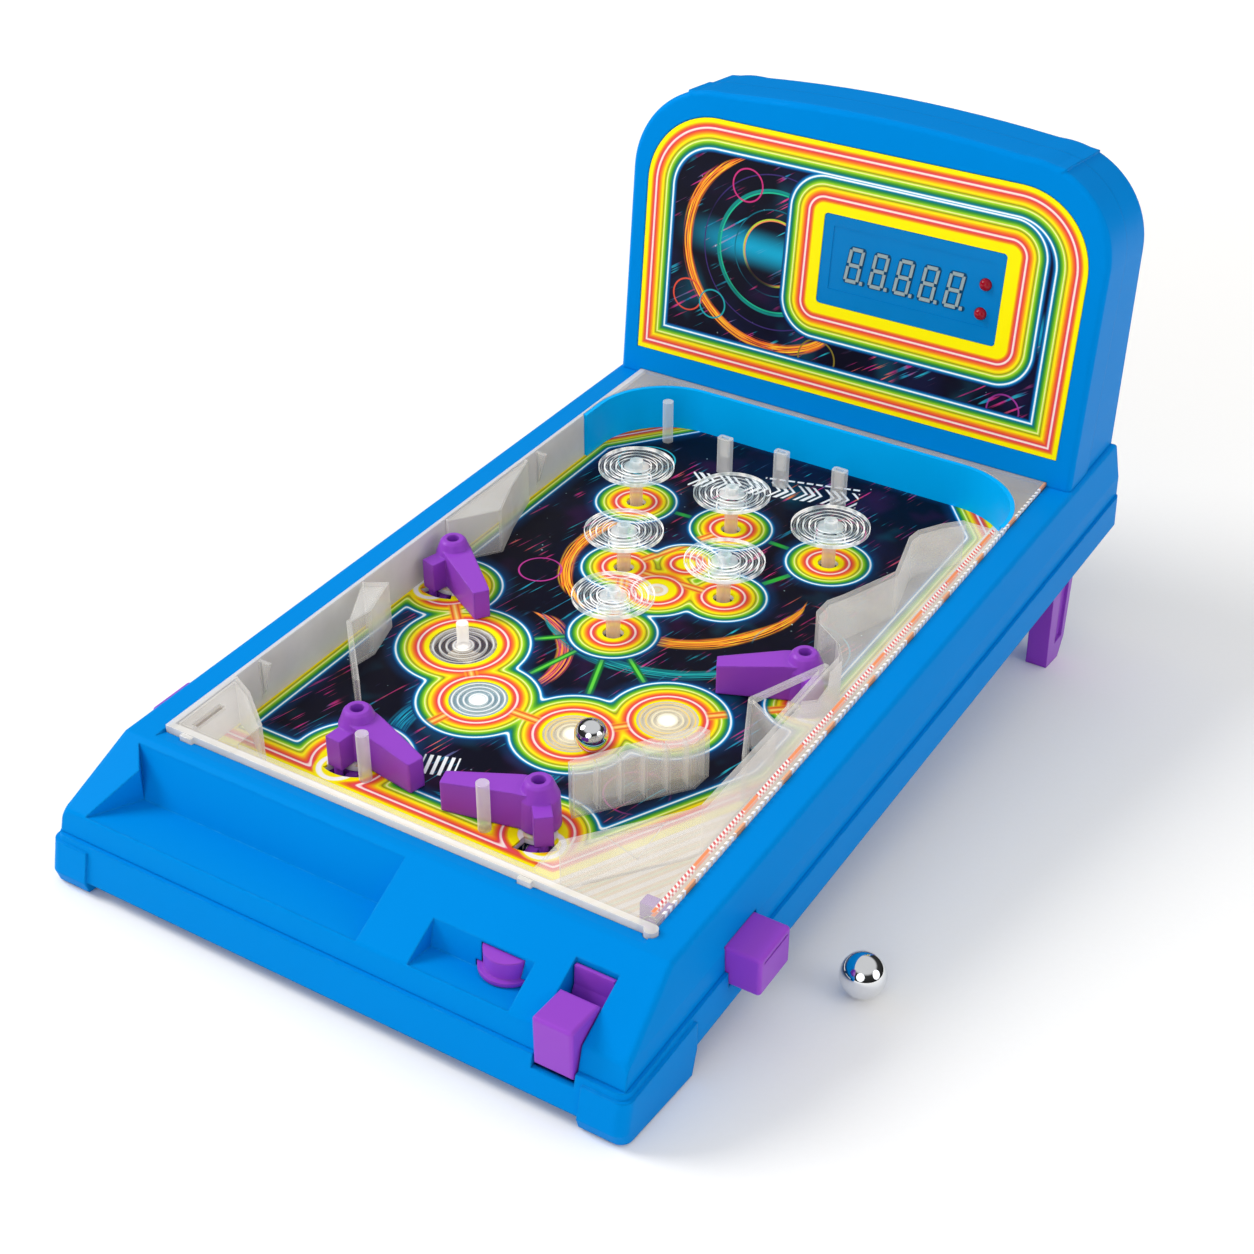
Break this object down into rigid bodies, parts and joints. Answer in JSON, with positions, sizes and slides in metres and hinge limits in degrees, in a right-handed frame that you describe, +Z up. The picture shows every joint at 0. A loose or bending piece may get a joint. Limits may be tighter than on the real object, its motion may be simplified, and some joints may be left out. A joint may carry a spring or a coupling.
{
  "type": "tabletop pinball game",
  "caption": "Tabletop electronic pinball game with coupled flippers, sprung bumpers, pull launcher, score display backbox and folding rear legs.",
  "frame": {"origin": "On the table, on the mid-plane, level with the front edge of the clear playfield frame's design plane", "axes": "+X to the player's right, +Y to the back, +Z up; the playfield slopes up towards +Y by 7 degrees"},
  "size_m": [0.3509, 0.5237, 0.284],
  "materials": {
    "blue_plastic": "gloss",
    "purple_plastic": "gloss",
    "clear_plastic": "frosted",
    "lens_plastic": "gloss",
    "printed_card": "satin print",
    "printed_backglass": "gloss print",
    "window_plastic": "gloss",
    "white_plastic": "matte",
    "black_plastic": "matte",
    "rubber_pad": "matte",
    "screw_steel": "zinc plated",
    "spring_steel": "bright",
    "circuit_board": "solder mask",
    "red_lens": "gloss",
    "digit_white": "satin",
    "lamp_white": "gloss",
    "wire_cover": "matte",
    "battery_jacket": "gloss",
    "ball_chrome": "mirror polish"
  },
  "bodies": {
    "cabinet": {"upper_cabinet": "blue_plastic", "lower_pan": "blue_plastic", "foot_pads": "rubber_pad", "case_screws": "screw_steel", "playfield_board": "printed_card", "playfield_base": "white_plastic", "arch_wall": "blue_plastic", "clear_frame": "clear_plastic", "left_inlane_guide": "clear_plastic", "upper_left_guide": "clear_plastic", "right_inlane_guide": "clear_plastic", "sling_guide": "clear_plastic", "round_posts": "clear_plastic", "square_posts": "clear_plastic", "light_lenses": "lens_plastic", "playfield_lamps": "lamp_white", "button_springs": "spring_steel", "bumper_springs": "spring_steel", "launch_spring": "spring_steel", "bumper_switch_board": "circuit_board", "flipper_pins": "screw_steel", "link_keepers": "white_plastic", "leg_pins": "screw_steel", "backbox_front_shell": "blue_plastic", "backbox_rear_shell": "blue_plastic", "backbox_screws": "screw_steel", "printed_panel": "printed_backglass", "display_window": "window_plastic", "status_leds": "red_lens", "digit_segments": "digit_white", "digit_module": "black_plastic", "main_circuit_board": "circuit_board", "speaker": "black_plastic", "wiring_loom": "wire_cover", "battery_box": "black_plastic", "batteries": "battery_jacket", "battery_contacts": "spring_steel"},
    "left_button": {"flipper_button_left": "purple_plastic", "link_bar_left": "purple_plastic"},
    "right_button": {"flipper_button_right": "purple_plastic", "link_bar_right": "purple_plastic"},
    "launcher": {"launch_lever": "purple_plastic", "launch_plunger": "purple_plastic"},
    "start_key": {"start_button": "purple_plastic"},
    "left_leg": {"leg_left": "purple_plastic"},
    "right_leg": {"leg_right": "purple_plastic"},
    "door": {"battery_door": "blue_plastic"},
    "ball_in_play": {"game_ball": "ball_chrome"},
    "loose_ball": {"spare_ball": "ball_chrome"},
    "flipper_lower_left": {"flipper_lower_left": "purple_plastic"},
    "flipper_lower_right": {"flipper_lower_right": "purple_plastic"},
    "flipper_upper_left": {"flipper_upper_left": "purple_plastic"},
    "flipper_upper_right": {"flipper_upper_right": "purple_plastic"},
    "bumper_1": {"bumper_1": "clear_plastic"},
    "bumper_2": {"bumper_2": "clear_plastic"},
    "bumper_3": {"bumper_3": "clear_plastic"},
    "bumper_4": {"bumper_4": "clear_plastic"},
    "bumper_5": {"bumper_5": "clear_plastic"},
    "bumper_6": {"bumper_6": "clear_plastic"}
  },
  "joints": [
    {"name": "left_button_press", "type": "slide", "parent": "cabinet", "child": "left_button", "axis": [1, 0, 0], "range_m": [0, 0.008], "stiffness_N_per_m": 150, "deforming": ["button_springs"]},
    {"name": "right_button_press", "type": "slide", "parent": "cabinet", "child": "right_button", "axis": [-1, 0, 0], "range_m": [0, 0.008], "stiffness_N_per_m": 150, "deforming": ["button_springs"]},
    {"name": "flipper_lower_left_swing", "type": "hinge", "parent": "cabinet", "child": "flipper_lower_left", "pos_m": [-0.0628, 0.05862, 0.05055], "axis": [0, -0.1219, 0.9925], "range_deg": [0, 28.1]},
    {"name": "flipper_lower_right_swing", "type": "hinge", "parent": "cabinet", "child": "flipper_lower_right", "pos_m": [0.0348, 0.05862, 0.05055], "axis": [0, -0.1219, 0.9925], "range_deg": [-28.1, 0]},
    {"name": "flipper_upper_left_swing", "type": "hinge", "parent": "cabinet", "child": "flipper_upper_left", "pos_m": [-0.1106, 0.19747, 0.0676], "axis": [0, -0.1219, 0.9925], "range_deg": [0, 28.1]},
    {"name": "flipper_upper_right_swing", "type": "hinge", "parent": "cabinet", "child": "flipper_upper_right", "pos_m": [0.0875, 0.20194, 0.06814], "axis": [0, -0.1219, 0.9925], "range_deg": [-28.1, 0]},
    {"name": "launch_pull", "type": "slide", "parent": "cabinet", "child": "launcher", "axis": [0, -0.9925, -0.1219], "range_m": [0, 0.01], "stiffness_N_per_m": 200, "deforming": ["launch_spring"]},
    {"name": "start_press", "type": "slide", "parent": "cabinet", "child": "start_key", "axis": [0, 0.9925, 0.1219], "range_m": [0, 0.0025], "stiffness_N_per_m": 300},
    {"name": "bumper_1_rock", "type": "hinge", "parent": "cabinet", "child": "bumper_1", "pos_m": [-0.0715, 0.31227, 0.06809], "axis": [1, 0, 0], "range_deg": [-2.5, 2.5], "stiffness_Nm_per_rad": 0.5},
    {"name": "bumper_2_rock", "type": "hinge", "parent": "cabinet", "child": "bumper_2", "pos_m": [-0.014, 0.31475, 0.06839], "axis": [1, 0, 0], "range_deg": [-2.5, 2.5], "stiffness_Nm_per_rad": 0.5},
    {"name": "bumper_3_rock", "type": "hinge", "parent": "cabinet", "child": "bumper_3", "pos_m": [0.0455, 0.31177, 0.06803], "axis": [1, 0, 0], "range_deg": [-2.5, 2.5], "stiffness_Nm_per_rad": 0.5},
    {"name": "bumper_4_rock", "type": "hinge", "parent": "cabinet", "child": "bumper_4", "pos_m": [-0.0427, 0.25321, 0.06084], "axis": [1, 0, 0], "range_deg": [-2.5, 2.5], "stiffness_Nm_per_rad": 0.5},
    {"name": "bumper_5_rock", "type": "hinge", "parent": "cabinet", "child": "bumper_5", "pos_m": [0.0152, 0.2552, 0.06108], "axis": [1, 0, 0], "range_deg": [-2.5, 2.5], "stiffness_Nm_per_rad": 0.5},
    {"name": "bumper_6_rock", "type": "hinge", "parent": "cabinet", "child": "bumper_6", "pos_m": [-0.0155, 0.19961, 0.05426], "axis": [1, 0, 0], "range_deg": [-2.5, 2.5], "stiffness_Nm_per_rad": 0.5},
    {"name": "left_leg_fold", "type": "hinge", "parent": "cabinet", "child": "left_leg", "pos_m": [-0.1336, 0.41306, 0.0719], "axis": [-1, 0, 0], "range_deg": [0, 85]},
    {"name": "right_leg_fold", "type": "hinge", "parent": "cabinet", "child": "right_leg", "pos_m": [0.1336, 0.41306, 0.0719], "axis": [-1, 0, 0], "range_deg": [0, 85]},
    {"name": "battery_door_lift", "type": "slide", "parent": "cabinet", "child": "door", "axis": [0, 0.1219, -0.9925], "range_m": [0, 0.02]},
    {"name": "ball_run", "type": "slide", "parent": "cabinet", "child": "ball_in_play", "axis": [0, 0.9925, 0.1219], "range_m": [0, 0.05]},
    {"name": "loose_ball_roll", "type": "slide", "parent": "cabinet", "child": "loose_ball", "axis": [1, 0, 0], "range_m": [0, 0.05]}
  ],
  "couplings": [
    {"joint": "flipper_lower_left_swing", "follows": "left_button_press", "rad_per_m": 61.087},
    {"joint": "flipper_lower_right_swing", "follows": "right_button_press", "rad_per_m": -61.087},
    {"joint": "flipper_upper_left_swing", "follows": "left_button_press", "rad_per_m": 61.087},
    {"joint": "flipper_upper_right_swing", "follows": "right_button_press", "rad_per_m": -61.087}
  ]
}
